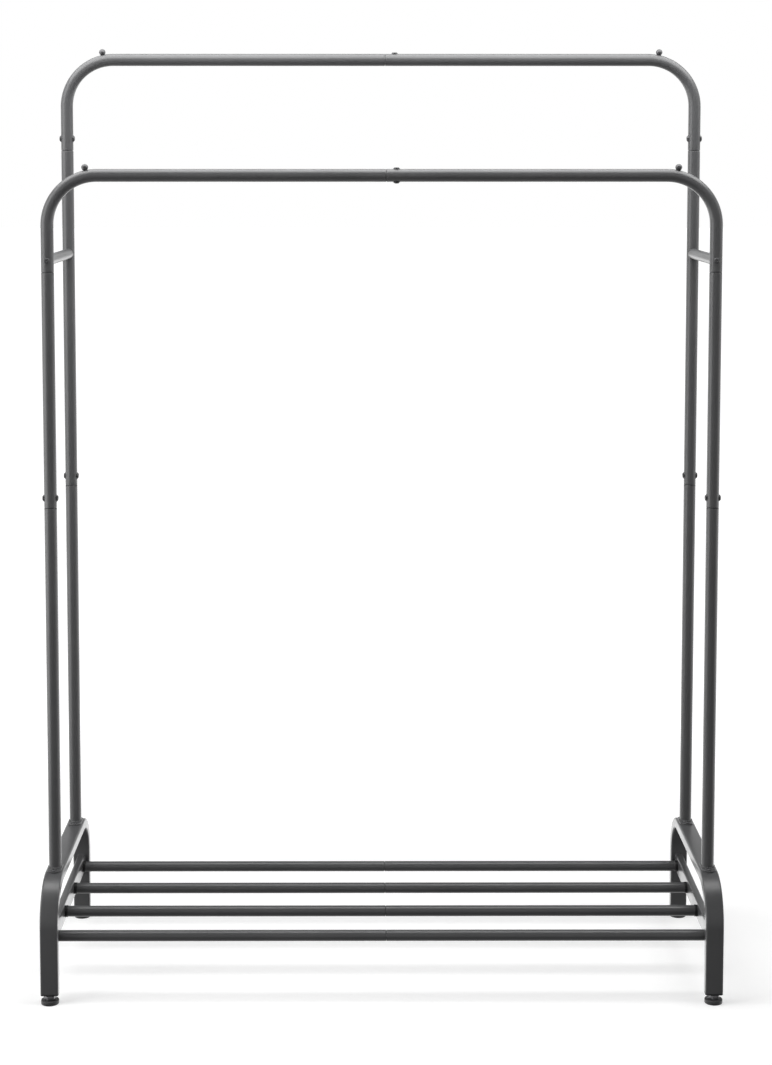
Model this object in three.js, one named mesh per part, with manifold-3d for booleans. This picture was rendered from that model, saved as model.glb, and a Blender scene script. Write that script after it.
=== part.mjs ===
// A free-standing clothes rack of bolted steel tube: two arched side frames, two hanging rails at
// different heights, a shelf of four bars, and four levelling feet that screw into the legs.
// Millimetres. X runs along the rails, Y from the front to the rear, Z up from the floor.
import * as THREE from "three";
import { mergeVertices } from "three/addons/utils/BufferGeometryUtils.js";
import Module from "manifold-3d";

const wasm = await Module();
wasm.setup();

// Driving dimensions.
const GAP = 0.3; // clearance between pieces that touch
const WALL = 1.2; // wall of every steel tube
const SIDE_X = 571; // centre plane of each side frame
const POST_Y = 130; // front and rear posts, either side of the middle
const TUBE_RADIUS = 11; // posts and hanging rails
const TUBE_SIDES = 16;
const ROD_SIDES = 10; // bolts, pins and their holes

const ARCH = { depth: 440, top: 211, width: 31, thick: 19.5, corner: 80, chamfer: 2, bendSteps: 6 };
const SIDE_RAIL = { width: 13, tall: 32, middleZ: 108 };
const SHELF_BAR = { radius: 9.5, pitch: 120, count: 4, neckLength: 30 };
const RAIL = { bendRadius: 85, bendSteps: 6, height: { front: 1419.6, rear: 1626.4 } };
const NECK = { radius: 9.3, length: 38, shoulder: 2 }; // swaged end that enters the next tube
const SPLIT_X = 7.5; // where the two halves of a rail or a shelf bar meet
const RAIL_BOLT_X = 25;
const MID_JOINT_Z = 848; // lower post to middle post
const MID_BOLT_Z = 865;
const TOP_JOINT_Z = { front: 1254, rear: 1462 }; // middle post to bent hanging rail
const REAR_BOLT_Z = 1484;
const FOOT_PLATE = { width: 25, length: 50, thick: 2.5, bendSteps: 3 }; // welded under each post
const WELD = { radius: 12.4, tall: 3 }; // fillet between a post and its plate

const CROSSBAR = { radius: 9.5, z: 1275, insertRadius: 7.8, insertLength: 18 };
const BOLT = { radius: 3, hole: 3.4, headRadius: 5.5, headRim: 0.9, headDome: 2.4 };
const STOP = { x: 505.5, radius: 6.2, centre: 4.2, shank: 2.9, depth: 4 };

const PAD = { radius: 15.5, tall: 8, socketRadius: 6.5, socketFloor: 2.6 };
const STUD = { radius: 4, top: 48, swivelRadius: 6, hexRadius: 9.6, hexTop: 15.2 };
const PLUG = { bottom: 15.5, flange: 1.7, depth: 25, hole: 4.5 };

const SIDES = [
  { side: "left", x: -1 },
  { side: "right", x: 1 },
];
const ENDS = [
  { end: "front", y: -1 },
  { end: "rear", y: 1 },
];

const steel = material("powder_coated_steel", 0x4a4b4d, 0.55, 0.2);
const fastener = material("black_fastener", 0x2c2d2f, 0.4, 0.8);
const insertSteel = material("zinc_steel", 0x9a9c9e, 0.35, 0.9);
const studSteel = material("black_zinc_steel", 0x38393b, 0.4, 0.9);
const plastic = material("black_plastic", 0x1d1d1e, 0.6, 0);

function material(name, color, roughness, metalness) {
  return new THREE.MeshStandardMaterial({ name, color, roughness, metalness });
}

// ---- Solids -----------------------------------------------------------------------------------

function toSolid(geometry) {
  const bare = geometry.clone();
  bare.deleteAttribute("normal");
  bare.deleteAttribute("uv");
  const merged = mergeVertices(bare, 1e-3);
  return new wasm.Manifold(
    new wasm.Mesh({
      numProp: 3,
      vertProperties: merged.attributes.position.array,
      triVerts: new Uint32Array(merged.index.array),
    }),
  );
}

function toGeometry(solid) {
  const mesh = solid.getMesh();
  const shared = new THREE.BufferGeometry();
  shared.setAttribute("position", new THREE.BufferAttribute(mesh.vertProperties, mesh.numProp));
  shared.setIndex(new THREE.BufferAttribute(mesh.triVerts, 1));
  const geometry = shared.toNonIndexed();
  geometry.computeVertexNormals();
  return geometry;
}

function join(...geometries) {
  return toGeometry(geometries.map(toSolid).reduce((whole, piece) => whole.add(piece)));
}

function cut(geometry, ...cutters) {
  return toGeometry(cutters.map(toSolid).reduce((rest, tool) => rest.subtract(tool), toSolid(geometry)));
}

function common(geometry, other) {
  return toGeometry(toSolid(geometry).intersect(toSolid(other)));
}

// ---- Shapes -----------------------------------------------------------------------------------

// Turns a profile of [radius, height] pairs about Z.
function turned(profile, sides) {
  const points = profile.map(([radius, height]) => new THREE.Vector2(radius, height));
  return new THREE.LatheGeometry(points, sides).rotateX(Math.PI / 2);
}

// A solid rod along "x", "y" or "z" between two places on that axis.
function rod(axis, radius, from, to, sides = ROD_SIDES) {
  const geometry = new THREE.CylinderGeometry(radius, radius, to - from, sides);
  geometry.translate(0, (from + to) / 2, 0);
  if (axis === "x") geometry.rotateZ(-Math.PI / 2);
  if (axis === "z") geometry.rotateX(Math.PI / 2);
  return geometry;
}

// A hole for a bolt, right through a tube of the given radius.
function boltHole(axis, radius, x, y, z) {
  return rod(axis, BOLT.hole, -radius - 5, radius + 5).translate(x, y, z);
}

// The profile of a straight tube that ends in a swaged neck, or in a plain end without one.
function tubeProfile(radius, from, to, neck) {
  const inner = radius - WALL;
  const top = neck
    ? [
        [radius, to],
        [neck.radius, to],
        [neck.radius, to + neck.length],
        [neck.radius - WALL, to + neck.length],
        [neck.radius - WALL, to],
        [inner, to - neck.shoulder],
      ]
    : [
        [radius, to],
        [inner, to],
      ];
  return [[inner, from], [radius, from], ...top, [inner, from]];
}

// A path of chosen stations, each a point and a direction, so that a straight run takes one step.
class StationPath extends THREE.Curve {
  constructor(stations) {
    super();
    this.stations = stations;
  }

  getPointAt(u, target = new THREE.Vector3()) {
    return target.copy(this.stations[Math.round(u * (this.stations.length - 1))].point);
  }

  getTangentAt(u, target = new THREE.Vector3()) {
    return target.copy(this.stations[Math.round(u * (this.stations.length - 1))].direction);
  }
}

// Stations round a quarter bend from one direction to another, about its centre.
function bend(centre, from, to, radius, steps) {
  return Array.from({ length: steps + 1 }, (_, i) => {
    const angle = ((Math.PI / 2) * i) / steps;
    const direction = from.clone().multiplyScalar(Math.cos(angle)).addScaledVector(to, Math.sin(angle));
    const point = centre.clone().addScaledVector(to, -radius * Math.cos(angle));
    point.addScaledVector(from, radius * Math.sin(angle));
    return { point, direction };
  });
}

function alongPath(section, stations) {
  return new THREE.ExtrudeGeometry(section, {
    steps: stations.length - 1,
    bevelEnabled: false,
    extrudePath: new StationPath(stations),
  });
}

function polygon(points) {
  return points.map(([x, y]) => new THREE.Vector2(x, y));
}

function ring(radius, sides) {
  return Array.from({ length: sides }, (_, i) => {
    const angle = (2 * Math.PI * i) / sides;
    return [radius * Math.cos(angle), radius * Math.sin(angle)];
  });
}

function roundTubeSection(radius) {
  const section = new THREE.Shape(polygon(ring(radius, TUBE_SIDES)));
  section.holes.push(new THREE.Path(polygon(ring(radius - WALL, TUBE_SIDES))));
  return section;
}

function rectangle(width, tall) {
  const x = width / 2;
  const y = tall / 2;
  return [[-x, -y], [x, -y], [x, y], [-x, y]];
}

// A rectangle with its corners cut off, as a round corner of tube is drawn here.
function chamferedRectangle(width, tall, chamfer) {
  const x = width / 2;
  const y = tall / 2;
  const c = chamfer;
  const lower = [[-x, -y + c], [-x + c, -y], [x - c, -y], [x, -y + c]];
  const upper = [[x, y - c], [x - c, y], [-x + c, y], [-x, y - c]];
  return [...lower, ...upper];
}

function rectangularTubeSection(width, tall, chamfer) {
  const section = new THREE.Shape(polygon(chamferedRectangle(width, tall, chamfer)));
  section.holes.push(new THREE.Path(polygon(rectangle(width - 2 * WALL, tall - 2 * WALL))));
  return section;
}

// ---- Side frames ------------------------------------------------------------------------------

// One rectangular tube bent twice: front leg, top and rear leg.
function archTube() {
  const up = new THREE.Vector3(0, 0, 1);
  const down = new THREE.Vector3(0, 0, -1);
  const back = new THREE.Vector3(0, 1, 0);
  const legY = (ARCH.depth - ARCH.thick) / 2;
  const bendRadius = ARCH.corner - ARCH.thick / 2;
  const bendZ = ARCH.top - ARCH.corner;
  const bendY = ARCH.depth / 2 - ARCH.corner;
  const legEndZ = PLUG.bottom + PLUG.flange + GAP;
  const stations = [
    { point: new THREE.Vector3(0, -legY, legEndZ), direction: up },
    ...bend(new THREE.Vector3(0, -bendY, bendZ), up, back, bendRadius, ARCH.bendSteps),
    ...bend(new THREE.Vector3(0, bendY, bendZ), back, down, bendRadius, ARCH.bendSteps),
    { point: new THREE.Vector3(0, legY, legEndZ), direction: down },
  ];
  return alongPath(rectangularTubeSection(ARCH.thick, ARCH.width, ARCH.chamfer), stations);
}

// The tube between the two legs that carries the shelf bars.
function sideRail() {
  const length = ARCH.depth - 2 * ARCH.thick - 2 * GAP;
  const section = rectangularTubeSection(SIDE_RAIL.width, SIDE_RAIL.tall, ARCH.chamfer);
  return new THREE.ExtrudeGeometry(section, { depth: length, bevelEnabled: false })
    .translate(0, 0, -length / 2)
    .rotateX(Math.PI / 2);
}

// The round-ended plate under a post. It lies on the arch and bends down with it, forward or back as y is.
function footPlate(y) {
  const bendStart = ARCH.depth / 2 - ARCH.corner - POST_Y;
  const bendRadius = ARCH.corner + GAP + FOOT_PLATE.thick / 2;
  const halfLength = FOOT_PLATE.length / 2;
  const bendZ = ARCH.top - ARCH.corner;
  const flatEnd = new THREE.Vector3(0, -y * halfLength, bendZ + bendRadius);
  const stations = [{ point: flatEnd, direction: new THREE.Vector3(0, y, 0) }];
  for (let i = 0; i <= FOOT_PLATE.bendSteps; i++) {
    const angle = (Math.asin((halfLength - bendStart) / bendRadius) * i) / FOOT_PLATE.bendSteps;
    const outward = new THREE.Vector3(0, y * Math.sin(angle), Math.cos(angle));
    const point = new THREE.Vector3(0, y * bendStart, bendZ).addScaledVector(outward, bendRadius);
    stations.push({ point, direction: new THREE.Vector3(0, y * Math.cos(angle), -Math.sin(angle)) });
  }
  const strip = alongPath(new THREE.Shape(polygon(rectangle(FOOT_PLATE.thick, FOOT_PLATE.width))), stations);

  const endRadius = FOOT_PLATE.width / 2;
  const outline = new THREE.Shape();
  outline.absarc(0, halfLength - endRadius, endRadius, 0, Math.PI);
  outline.absarc(0, endRadius - halfLength, endRadius, Math.PI, 2 * Math.PI);
  const settings = { depth: ARCH.thick, curveSegments: 8, bevelEnabled: false };
  const punch = new THREE.ExtrudeGeometry(outline, settings).translate(0, 0, ARCH.top - ARCH.thick / 2);
  return common(strip, punch);
}

// Stands on its foot plate in a weld fillet; the neck at its top enters the middle post.
function lowerPost(y) {
  const foot = ARCH.top + GAP + FOOT_PLATE.thick;
  const root = foot - FOOT_PLATE.thick / 2;
  const inner = TUBE_RADIUS - WALL;
  const straight = tubeProfile(TUBE_RADIUS, root, MID_JOINT_Z, NECK).slice(2);
  const fillet = [[WELD.radius, root], [WELD.radius, foot], [TUBE_RADIUS, foot + WELD.tall]];
  const tube = turned([[inner, root], ...fillet, ...straight], TUBE_SIDES);
  return cut(join(footPlate(y), tube), boltHole("x", TUBE_RADIUS, 0, 0, MID_BOLT_Z));
}

// Between the lower post and the bent end of a hanging rail, with a neck at its top.
function middlePost(end) {
  const profile = tubeProfile(TUBE_RADIUS, MID_JOINT_Z + GAP, TOP_JOINT_Z[end], NECK);
  const holes = [
    boltHole("x", TUBE_RADIUS, 0, 0, MID_BOLT_Z),
    boltHole("y", TUBE_RADIUS, 0, 0, CROSSBAR.z),
  ];
  if (end === "rear") holes.push(boltHole("x", TUBE_RADIUS, 0, 0, REAR_BOLT_Z));
  return cut(turned(profile, TUBE_SIDES), ...holes);
}

// ---- Hanging rails ----------------------------------------------------------------------------

// A hole in the top wall only of a tube along X.
function topHole(radius, x, z) {
  return rod("z", radius, 0, TUBE_RADIUS + 5).translate(x, 0, z);
}

// Half of a hanging rail: up from its post, round the bend and in to where the halves meet.
function railHalf(end, x) {
  const z = RAIL.height[end];
  const up = new THREE.Vector3(0, 0, 1);
  const inward = new THREE.Vector3(-x, 0, 0);
  const centre = new THREE.Vector3(x * (SIDE_X - RAIL.bendRadius), 0, z - RAIL.bendRadius);
  const hasNeck = x < 0;
  const endX = hasNeck ? SPLIT_X : SPLIT_X + GAP;
  const tube = alongPath(roundTubeSection(TUBE_RADIUS), [
    { point: new THREE.Vector3(x * SIDE_X, 0, TOP_JOINT_Z[end] + GAP), direction: up },
    ...bend(centre, up, inward, RAIL.bendRadius, RAIL.bendSteps),
    { point: new THREE.Vector3(endX, 0, z), direction: inward },
  ]);
  const holes = [
    end === "front" ? boltHole("z", TUBE_RADIUS, RAIL_BOLT_X, 0, z) : topHole(BOLT.hole, RAIL_BOLT_X, z),
    topHole(STOP.shank + GAP, x * STOP.x, z),
    end === "front"
      ? boltHole("y", TUBE_RADIUS, x * SIDE_X, 0, CROSSBAR.z)
      : boltHole("x", TUBE_RADIUS, x * SIDE_X, 0, REAR_BOLT_Z),
  ];
  return cut(hasNeck ? join(tube, railNeck().translate(SPLIT_X, 0, z)) : tube, ...holes);
}

// The swaged end of a left rail half, rooted by a web inside the wall of its own tube.
function railNeck() {
  const inner = NECK.radius - WALL;
  const rootRadius = TUBE_RADIUS - WALL / 2;
  const webEnd = 1 - NECK.shoulder;
  const profile = [
    [inner, -NECK.shoulder],
    [rootRadius, -NECK.shoulder],
    [rootRadius, webEnd],
    [NECK.radius, webEnd],
    [NECK.radius, NECK.length],
    [inner, NECK.length],
    [inner, -NECK.shoulder],
  ];
  return turned(profile, TUBE_SIDES).rotateY(Math.PI / 2);
}

// How high a hanging rail's upper surface is above its axis, where it has begun to bend down.
function railSurface(x) {
  const intoBend = x - (SIDE_X - RAIL.bendRadius);
  const outerRadius = RAIL.bendRadius + TUBE_RADIUS;
  return Math.sqrt(outerRadius ** 2 - intoBend ** 2) - RAIL.bendRadius;
}

// The ball-headed pin that keeps hangers on the rail. Its origin is on the tube's surface.
function hangerStop() {
  const base = Math.asin((STOP.centre - GAP) / STOP.radius);
  const steps = 4;
  const dome = Array.from({ length: steps + 1 }, (_, i) => {
    const angle = -base + ((Math.PI / 2 + base) * i) / steps;
    return [STOP.radius * Math.cos(angle), STOP.centre + STOP.radius * Math.sin(angle)];
  });
  dome[steps][0] = 0;
  const profile = [[0, -STOP.depth], [STOP.shank, -STOP.depth], [STOP.shank, GAP], ...dome];
  return turned(profile, ROD_SIDES);
}

// ---- Shelf and crossbars ----------------------------------------------------------------------

// Half of a shelf bar, from the side rail to where the halves meet.
function shelfBarHalf(x) {
  const reach = SIDE_X - SIDE_RAIL.width / 2 - GAP;
  const inner = SHELF_BAR.radius - WALL;
  const neck = { radius: inner - 2 * GAP, length: SHELF_BAR.neckLength, shoulder: NECK.shoulder };
  const profile = x < 0
    ? tubeProfile(SHELF_BAR.radius, -reach, SPLIT_X, neck)
    : tubeProfile(SHELF_BAR.radius, SPLIT_X + GAP, reach, null);
  return turned(profile, TUBE_SIDES).rotateY(Math.PI / 2);
}

function crossbarReach() {
  return POST_Y - TUBE_RADIUS - GAP;
}

function crossbar() {
  const reach = crossbarReach();
  return turned(tubeProfile(CROSSBAR.radius, -reach, reach, null), TUBE_SIDES).rotateX(Math.PI / 2);
}

// The threaded insert pressed into each end of a crossbar.
function crossbarInsert() {
  const half = CROSSBAR.insertLength / 2;
  const profile = [
    [BOLT.hole, -half],
    [CROSSBAR.insertRadius, -half],
    [CROSSBAR.insertRadius, half],
    [BOLT.hole, half],
    [BOLT.hole, -half],
  ];
  return turned(profile, ROD_SIDES).rotateX(Math.PI / 2);
}

// ---- Fasteners --------------------------------------------------------------------------------

// The upper half of a button head, from its rim to the axis, that rests on a tube.
function headProfile() {
  const seat = TUBE_RADIUS + GAP;
  return [
    [BOLT.headRadius, seat],
    [BOLT.headRadius, seat + BOLT.headRim],
    [BOLT.headRadius * 0.7, seat + BOLT.headRim + BOLT.headDome * 0.75],
    [0, seat + BOLT.headRim + BOLT.headDome],
  ];
}

// A bolt right through a tube, with its cap nut, along Z.
function throughBolt() {
  const seat = TUBE_RADIUS + GAP;
  const head = headProfile();
  const nut = head.map(([radius, height]) => [radius, -height]).reverse();
  return turned([...nut, [BOLT.radius, -seat], [BOLT.radius, seat], ...head], ROD_SIDES);
}

// A bolt with its head on top of a tube and its tip at the given height from the tube's middle.
function blindBolt(tip) {
  const seat = TUBE_RADIUS + GAP;
  return turned([[0, tip], [BOLT.radius, tip], [BOLT.radius, seat], ...headProfile()], ROD_SIDES);
}

// ---- Levelling feet ---------------------------------------------------------------------------

// The plug in the end of a leg, with the thread that a levelling foot screws into.
function legPlug() {
  const clearance = 2 * (WALL + GAP);
  const flangeSection = new THREE.Shape(
    polygon(chamferedRectangle(ARCH.width - GAP, ARCH.thick - GAP, ARCH.chamfer)),
  );
  const bodySection = new THREE.Shape(polygon(rectangle(ARCH.width - clearance, ARCH.thick - clearance)));
  const flange = new THREE.ExtrudeGeometry(flangeSection, { depth: PLUG.flange, bevelEnabled: false });
  const body = new THREE.ExtrudeGeometry(bodySection, { depth: PLUG.depth, bevelEnabled: false });
  const thread = rod("z", PLUG.hole, -1, PLUG.depth + 1, TUBE_SIDES);
  return cut(join(flange, body), thread).translate(0, 0, PLUG.bottom);
}

// The round foot pad, with the socket that the stud swivels in.
function footPad() {
  const profile = [
    [0, 0],
    [PAD.radius - 1.3, 0],
    [PAD.radius, 1.5],
    [PAD.radius, PAD.tall - 3.5],
    [PAD.radius - 2.2, PAD.tall - 0.9],
    [PAD.radius - 6, PAD.tall],
    [PAD.socketRadius, PAD.tall],
    [PAD.socketRadius, PAD.socketFloor],
    [0, PAD.socketFloor],
  ];
  return turned(profile, TUBE_SIDES);
}

// The threaded stud with its hexagon, which turns in the pad and screws into the plug.
function footStud() {
  const swivel = rod("z", STUD.swivelRadius, PAD.socketFloor + GAP, PAD.tall + 1);
  const hexagon = rod("z", STUD.hexRadius, PAD.tall + GAP, STUD.hexTop, 6);
  const thread = turned(
    [
      [0, PAD.tall + 1],
      [STUD.radius, PAD.tall + 1],
      [STUD.radius, STUD.top - 1],
      [STUD.radius - 1, STUD.top],
      [0, STUD.top],
    ],
    ROD_SIDES,
  );
  return join(swivel, hexagon, thread);
}

// ---- Assembly ---------------------------------------------------------------------------------

const rack = new THREE.Group();

function place(name, geometry, meshMaterial, x, y, z, turn = {}) {
  const mesh = new THREE.Mesh(geometry, meshMaterial);
  mesh.name = name;
  mesh.position.set(x, y, z);
  mesh.rotation.set(turn.x ?? 0, turn.y ?? 0, turn.z ?? 0);
  rack.add(mesh);
}

function placeSideFrame({ side, x }) {
  place(`arch_${side}`, archTube(), steel, x * SIDE_X, 0, 0);
  place(`side_rail_${side}`, sideRail(), steel, x * SIDE_X, 0, SIDE_RAIL.middleZ);
  for (const { end, y } of ENDS) {
    place(`lower_post_${end}_${side}`, lowerPost(y), steel, x * SIDE_X, y * POST_Y, 0);
    place(`middle_post_${end}_${side}`, middlePost(end), steel, x * SIDE_X, y * POST_Y, 0);
    place(`mid_bolt_${end}_${side}`, throughBolt(), fastener, x * SIDE_X, y * POST_Y, MID_BOLT_Z, {
      y: Math.PI / 2,
    });
  }
  place(`rear_bolt_${side}`, throughBolt(), fastener, x * SIDE_X, POST_Y, REAR_BOLT_Z, { y: Math.PI / 2 });
}

function placeCrossbar({ side, x }) {
  const insertY = crossbarReach() - CROSSBAR.insertLength / 2;
  const boltTip = -TUBE_RADIUS - GAP - CROSSBAR.insertLength;
  place(`crossbar_${side}`, crossbar(), steel, x * SIDE_X, 0, CROSSBAR.z);
  for (const { end, y } of ENDS) {
    const name = `${end}_${side}`;
    place(`crossbar_insert_${name}`, crossbarInsert(), insertSteel, x * SIDE_X, y * insertY, CROSSBAR.z);
    place(`crossbar_bolt_${name}`, blindBolt(boltTip), fastener, x * SIDE_X, y * POST_Y, CROSSBAR.z, {
      x: (-y * Math.PI) / 2,
    });
  }
}

function placeRail({ end, y }) {
  for (const { side, x } of SIDES) {
    place(`rail_${end}_${side}`, railHalf(end, x), steel, 0, y * POST_Y, 0);
    const stopZ = RAIL.height[end] + railSurface(STOP.x);
    place(`hanger_stop_${end}_${side}`, hangerStop(), fastener, x * STOP.x, y * POST_Y, stopZ);
  }
  const bolt = end === "front" ? throughBolt() : blindBolt(0); // the rear bolt screws into the neck
  place(`rail_bolt_${end}`, bolt, fastener, RAIL_BOLT_X, y * POST_Y, RAIL.height[end]);
}

function placeShelf() {
  for (let i = 0; i < SHELF_BAR.count; i += 1) {
    const y = (i - (SHELF_BAR.count - 1) / 2) * SHELF_BAR.pitch;
    for (const { side, x } of SIDES) {
      place(`shelf_bar_${i + 1}_${side}`, shelfBarHalf(x), steel, 0, y, SIDE_RAIL.middleZ);
    }
  }
}

function placeFeet({ side, x }) {
  const legY = (ARCH.depth - ARCH.thick) / 2;
  for (const { end, y } of ENDS) {
    const name = `${end}_${side}`;
    place(`leg_plug_${name}`, legPlug(), plastic, x * SIDE_X, y * legY, 0);
    place(`foot_pad_${name}`, footPad(), plastic, x * SIDE_X, y * legY, 0);
    place(`foot_stud_${name}`, footStud(), studSteel, x * SIDE_X, y * legY, 0);
  }
}

SIDES.forEach(placeSideFrame);
SIDES.forEach(placeCrossbar);
ENDS.forEach(placeRail);
placeShelf();
SIDES.forEach(placeFeet);

export default rack;
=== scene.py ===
"""A bolted steel clothes rack: smooth tubes, welds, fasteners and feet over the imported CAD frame.

Metres, in the frame of the CAD model: X along the rails, Y from the front to the rear, Z up.
"""

import math

import bmesh
import bpy
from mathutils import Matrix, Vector


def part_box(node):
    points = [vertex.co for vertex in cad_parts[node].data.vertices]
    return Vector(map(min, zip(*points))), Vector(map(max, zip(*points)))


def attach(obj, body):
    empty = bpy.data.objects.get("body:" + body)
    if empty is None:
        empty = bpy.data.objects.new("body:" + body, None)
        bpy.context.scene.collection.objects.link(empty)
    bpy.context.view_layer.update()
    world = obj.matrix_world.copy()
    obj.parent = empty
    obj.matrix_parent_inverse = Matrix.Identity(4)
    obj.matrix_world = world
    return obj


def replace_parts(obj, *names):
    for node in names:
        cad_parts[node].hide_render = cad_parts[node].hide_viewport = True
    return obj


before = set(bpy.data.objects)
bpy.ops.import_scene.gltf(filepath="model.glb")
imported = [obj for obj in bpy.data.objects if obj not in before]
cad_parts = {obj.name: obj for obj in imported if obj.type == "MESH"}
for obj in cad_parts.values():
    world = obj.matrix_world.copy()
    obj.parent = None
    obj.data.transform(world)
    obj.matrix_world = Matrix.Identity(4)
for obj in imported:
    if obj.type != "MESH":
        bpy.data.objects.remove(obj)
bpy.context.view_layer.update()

MM = 0.001
X_AXIS = Vector((1, 0, 0))
Y_AXIS = Vector((0, 1, 0))
Z_AXIS = Vector((0, 0, 1))
SIDES = {"left": -1, "right": 1}  # the sign of X on each side
ENDS = {"front": -1, "rear": 1}  # the sign of Y at each end

# How finely round things are drawn.
TUBE_SIDES = 48
BOLT_SIDES = 36
BEAD_SIDES = 10
BEND_STEPS = 28
DOME_STEPS = 7
CORNER_STEPS = 7  # of a rounded rectangle
PLUG_CORNER_STEPS = 8

# Sizes that the CAD solids share with the pieces here.
GAP = 0.3 * MM  # clearance between neighbouring CAD solids
WALL = 1.2 * MM
ARCH_THICK = 19.5 * MM
ARCH_BEND = 80 * MM  # outer bend radius of the arch
RAIL_BEND = 85 * MM
SHELF_BARS = range(1, 5)
SHANK_RADIUS = 3 * MM  # of every bolt
STOP_SHANK = 2.9 * MM
STUD_RADIUS = 4 * MM
STUD_HOLE = 4.25 * MM
SOCKET_RADIUS = 6.5 * MM  # of the swivel socket in a foot
SOCKET_FLOOR = 2.6 * MM
FOOT_PLATE = {"width": 25 * MM, "length": 50 * MM, "thick": 2.5 * MM, "screw": 18.5 * MM}

# Details that the CAD solids leave out.
LIP = 1.0 * MM  # rounded edge at the end of a tube
LIP_RUN = 4 * LIP  # the straight wall beside a rounded edge
NECK_INSET = 1.7 * MM  # how much thinner the swaged end of a tube is
ARCH_CORNER = 3.4 * MM  # outer corner radius of the arch tube
SIDE_RAIL_CORNER = 2.4 * MM
ARCH_PRESS = (0.012, 0.035)  # how much wider and thinner a tube is half way round its bends
RAIL_PRESS = (0.015, 0.03)
WASHER = {"radius": 6.2 * MM, "thick": 0.8 * MM, "hole": 3.2 * MM, "edge": 0.2 * MM}
BOLT_SEAT = 0.5 * MM  # from the surface of a tube to the seat of a bolt on its saddle washer
HEAD = {"radius": 5.0 * MM, "rim": 0.6 * MM, "tall": 2.3 * MM, "socket": 1.9 * MM, "depth": 1.4 * MM}
NUT = {"radius": 4.8 * MM, "rim": 1.1 * MM, "tall": 2.6 * MM}
SCREW_LENGTH = 20 * MM
TIP_CHAMFER = 0.8 * MM
BEDDING = 0.4 * MM  # how far a head without a washer beds into a round tube
WASHER_LIFT = {"flat": 0.05 * MM, "saddle": 0.1 * MM}  # off the surface under a washer
COLLAR = {"radius": 10.3 * MM, "width": 5.0 * MM}
PAD = {
    "hollow": 0.4 * MM,  # height of the middle of the sole over its rim
    "rim": 5 * MM,
    "sole_edge": 1.0 * MM,
    "top_edge": 1.5 * MM,
    "collar": 4.2 * MM,
    "collar_tall": 0.8 * MM,
}
POST_BEAD = 1.7 * MM
RAIL_BEAD = 1.5 * MM
BEAD_PITCH = 2.9 * MM
THREAD = {"pitch": 1.25 * MM, "depth": 0.68 * MM, "steps": 10}
WEAR_FROM = math.radians(24)  # edges sharper than this start to wear
WEAR_SPAN = math.radians(30)  # from the first wear to the most
SHARP = {"piece": 32, "fastener": 28, "bead": 60}  # degrees from which an edge is drawn sharp

# Light from around the rack: strengths, and the heights or directions between which they change over.
WORLD = {
    "front": 0.7,
    "front_floor": 0.16,
    "front_fade": (-0.5, -0.02),
    "behind": 1.05,
    "behind_fade": (-0.2, 0.0),
    "floor_behind": 3.0,
    "floor_below": 1.3,
    "floor_fade": (-0.6, -0.35),
    "side_fade": (-0.7, 0.8),
    "overhead": 0.12,
    "overhead_fade": (0.15, 0.85),
}
# The floor glows with the first strength at the rack, and with the second beyond the end of its fade.
FLOOR = {"half": 40, "colour": (0.62, 0.62, 0.62), "glow": (0.45, 1.0), "fade": (0.6, 1.8)}
SOFTBOXES = (  # name, place, aim, size, power
    ("top_softbox", (0, -0.05, 2.0), (0, 0, 1.0), (2.6, 0.8), 34),
    ("left_softbox", (-1.8, -0.6, 1.1), (0, 0, 0.9), (1.2, 2.4), 24),
    ("right_softbox", (2.0, -0.2, 1.1), (0, 0, 0.9), (0.5, 2.4), 4),
)

CAMERA = {
    "place": (-0.0265, -3.7501, 1.45),
    "pitch": 4.94,  # degrees below level
    "yaw": -0.178,  # degrees, to the left if above zero
    "lens": 71.68,
    "shift": (0.0123, -0.18),
}


# ---- Places taken from the frame --------------------------------------------------------------


def middle(node):
    low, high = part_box(node)
    return (low + high) / 2


def extent(node):
    low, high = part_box(node)
    return high - low


SIDE_X = middle("arch_right").x
POST_Y = middle("lower_post_rear_right").y
TUBE_RADIUS = extent("middle_post_front_right").x / 2
ARCH_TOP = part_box("arch_right")[1].z
RAIL_Z = {end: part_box(f"rail_{end}_right")[1].z - TUBE_RADIUS for end in ENDS}
MID_JOINT_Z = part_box("middle_post_front_left")[0].z - GAP
TOP_JOINT_Z = {end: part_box(f"rail_{end}_left")[0].z - GAP for end in ENDS}
SPLIT_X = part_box("rail_front_right")[0].x - GAP


# ---- Mesh building ----------------------------------------------------------------------------


def skin(build, first, second):
    """Faces between two rings of vertices; a ring of one vertex is a tip."""
    count = max(len(first), len(second))
    if count == 1:
        return
    for i in range(count):
        j = (i + 1) % count
        if len(first) == 1:
            corners = (first[0], second[j], second[i])
        elif len(second) == 1:
            corners = (first[i], first[j], second[0])
        else:
            corners = (first[i], first[j], second[j], second[i])
        build.faces.new(corners)


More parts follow.
